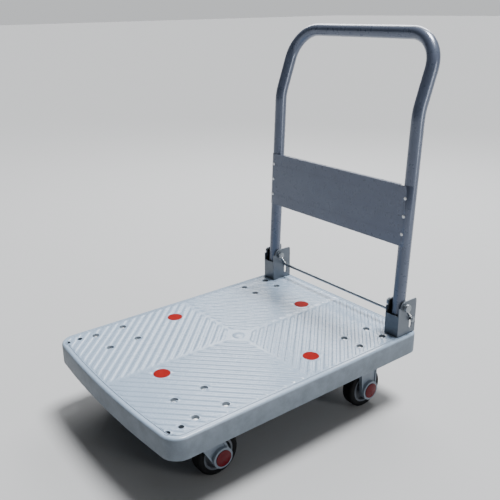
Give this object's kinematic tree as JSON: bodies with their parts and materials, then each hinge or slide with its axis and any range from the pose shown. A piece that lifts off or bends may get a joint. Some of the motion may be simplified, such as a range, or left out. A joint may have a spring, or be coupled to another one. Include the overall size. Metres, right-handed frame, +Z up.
{
  "type": "platform truck",
  "caption": "Flatbed platform truck: ribbed plastic deck on two swivel and two fixed casters, with a folding steel push handle and a foot-press lock rod.",
  "frame": {"origin": "floor level, middle of the width and of the whole length from the front edge to the back of the handle", "axes": "+Z up, +Y towards the handle, +X to the right side seen from the front end"},
  "size_m": [0.52, 0.7636, 0.8811],
  "materials": {
    "deck_plastic": "semi-gloss moulded",
    "cap_plastic": "semi-gloss moulded",
    "bracket_steel": "grey paint on folded sheet",
    "black_nylon": "matt",
    "zinc_plate": "bright zinc",
    "spring_steel": "drawn wire",
    "handle_paint": "slate metallic paint",
    "fork_plastic": "satin moulded",
    "core_plastic": "satin moulded",
    "hub_plastic": "gloss moulded",
    "tyre": "moulded rubber",
    "bearing_steel": "ground"
  },
  "bodies": {
    "truck": {"deck": "deck_plastic", "deck_caps": "cap_plastic", "bracket_left": "bracket_steel", "bracket_right": "bracket_steel", "bracket_gaskets": "black_nylon", "bracket_bolts": "zinc_plate", "bracket_nuts": "zinc_plate", "pivot_liners_left": "black_nylon", "pivot_liners_right": "black_nylon", "pivot_bolt_left": "zinc_plate", "pivot_bolt_right": "zinc_plate", "pivot_nuts": "zinc_plate", "lock_springs_left": "spring_steel", "lock_springs_right": "spring_steel", "swivel_plate_left": "zinc_plate", "swivel_plate_right": "zinc_plate", "kingpin_left": "zinc_plate", "kingpin_right": "zinc_plate", "kingpin_nuts": "zinc_plate", "rigid_plate_left": "zinc_plate", "rigid_plate_right": "zinc_plate", "rigid_fork_left": "fork_plastic", "rigid_fork_right": "fork_plastic", "fork_screws": "zinc_plate", "rigid_axle_left": "zinc_plate", "rigid_axle_right": "zinc_plate", "rigid_axle_nuts": "zinc_plate", "rigid_hub_caps": "hub_plastic", "caster_bolts": "zinc_plate", "caster_nuts": "zinc_plate"},
    "handle": {"handle_tube": "handle_paint", "handle_panel": "handle_paint", "panel_rivets": "zinc_plate", "foot_plugs": "black_nylon"},
    "lock": {"lock_rod": "zinc_plate", "rod_retainers": "zinc_plate"},
    "swivel_left": {"swivel_fork_left": "fork_plastic", "swivel_axle_left": "zinc_plate", "swivel_axle_nut_left": "zinc_plate", "swivel_hub_caps_left": "hub_plastic", "race_balls_left": "bearing_steel"},
    "swivel_right": {"swivel_fork_right": "fork_plastic", "swivel_axle_right": "zinc_plate", "swivel_axle_nut_right": "zinc_plate", "swivel_hub_caps_right": "hub_plastic", "race_balls_right": "bearing_steel"},
    "wheel_front_left": {"front_core_left": "core_plastic", "front_tyre_left": "tyre", "front_bearings_left": "bearing_steel"},
    "wheel_front_right": {"front_core_right": "core_plastic", "front_tyre_right": "tyre", "front_bearings_right": "bearing_steel"},
    "wheel_rear_left": {"rear_core_left": "core_plastic", "rear_tyre_left": "tyre", "rear_bearings_left": "bearing_steel"},
    "wheel_rear_right": {"rear_core_right": "core_plastic", "rear_tyre_right": "tyre", "rear_bearings_right": "bearing_steel"}
  },
  "joints": [
    {"name": "handle_fold", "type": "hinge", "parent": "truck", "child": "handle", "pos_m": [0, 0.28574, 0.254], "axis": [1, 0, 0], "range_deg": [0, 100]},
    {"name": "lock_press", "type": "slide", "parent": "truck", "child": "lock", "axis": [0, 0, -1], "range_m": [0, 0.02], "stiffness_N_per_m": 400, "springref_m": -0.02, "deforming": ["lock_springs_left", "lock_springs_right"]},
    {"name": "caster_swivel_left", "type": "hinge", "parent": "truck", "child": "swivel_left", "pos_m": [-0.1794, -0.25226, 0.1], "axis": [0, 0, 1], "continuous": true},
    {"name": "wheel_spin_front_left", "type": "hinge", "parent": "swivel_left", "child": "wheel_front_left", "pos_m": [-0.1794, -0.22126, 0.05], "axis": [1, 0, 0], "continuous": true},
    {"name": "wheel_spin_rear_left", "type": "hinge", "parent": "truck", "child": "wheel_rear_left", "pos_m": [-0.195, 0.20474, 0.05], "axis": [1, 0, 0], "continuous": true},
    {"name": "caster_swivel_right", "type": "hinge", "parent": "truck", "child": "swivel_right", "pos_m": [0.1794, -0.25226, 0.1], "axis": [0, 0, 1], "continuous": true},
    {"name": "wheel_spin_front_right", "type": "hinge", "parent": "swivel_right", "child": "wheel_front_right", "pos_m": [0.1794, -0.22126, 0.05], "axis": [1, 0, 0], "continuous": true},
    {"name": "wheel_spin_rear_right", "type": "hinge", "parent": "truck", "child": "wheel_rear_right", "pos_m": [0.195, 0.20474, 0.05], "axis": [1, 0, 0], "continuous": true}
  ]
}
